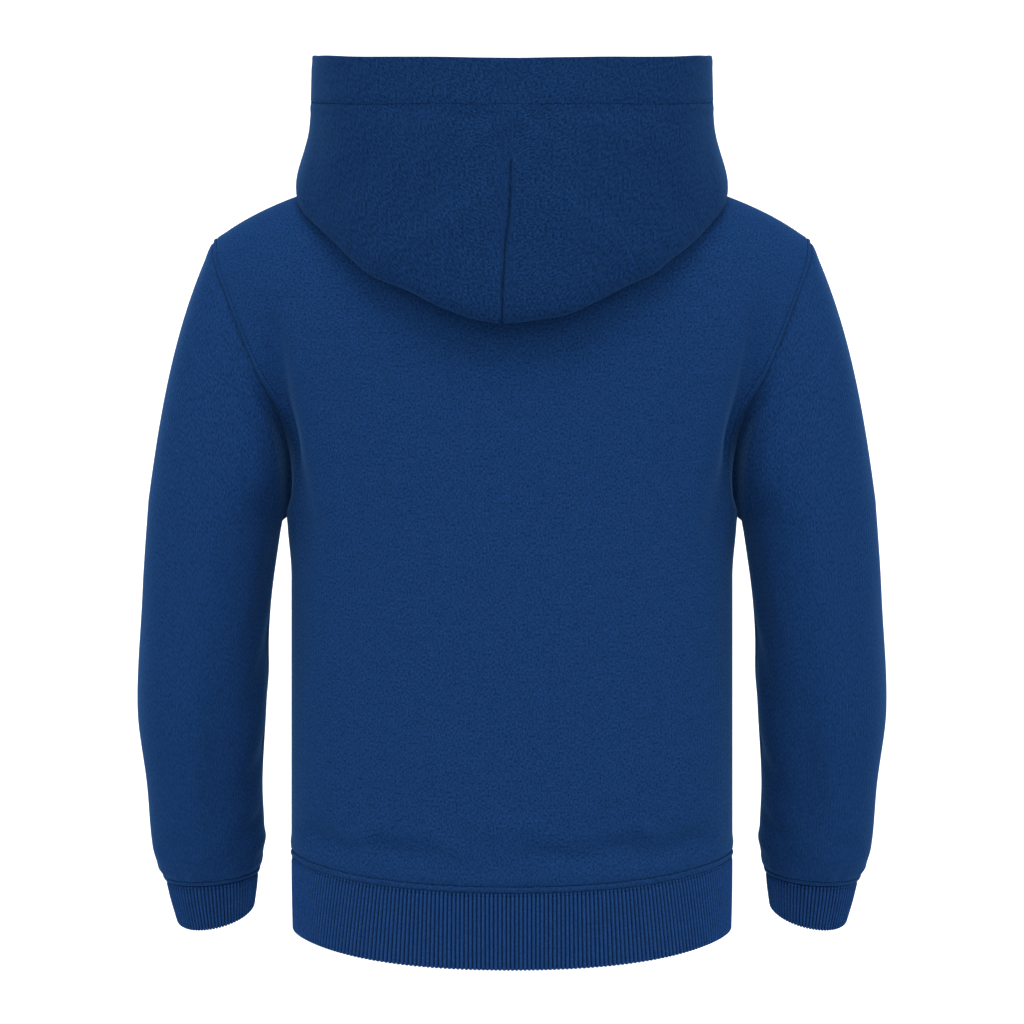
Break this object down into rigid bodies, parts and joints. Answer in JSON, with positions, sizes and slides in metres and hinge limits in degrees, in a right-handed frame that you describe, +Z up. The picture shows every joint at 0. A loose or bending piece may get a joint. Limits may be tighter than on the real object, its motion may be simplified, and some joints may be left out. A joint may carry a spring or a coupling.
{
  "type": "pullover hoodie",
  "caption": "Plain long-sleeved hooded pullover in worn form, hood folded down at the back, with ribbed waistband and cuffs.",
  "frame": {"origin": "the middle of the neck, level with the two points where the shoulders meet the hood, where the wearer's shoulders hold the garment up", "axes": "+Z up, +X towards the wearer's left sleeve, +Y out of the back; the front faces -Y"},
  "size_m": [0.5264, 0.2349, 0.6208],
  "materials": {
    "fleece": "soft smooth-faced fleece jersey, matt",
    "rib": "1x1 rib knit, matt"
  },
  "bodies": {
    "root": {"back_panel": "fleece", "front_panel": "fleece", "sleeve_left": "fleece", "sleeve_right": "fleece", "hood": "fleece", "waistband": "rib", "cuff_left": "rib", "cuff_right": "rib"}
  },
  "joints": []
}
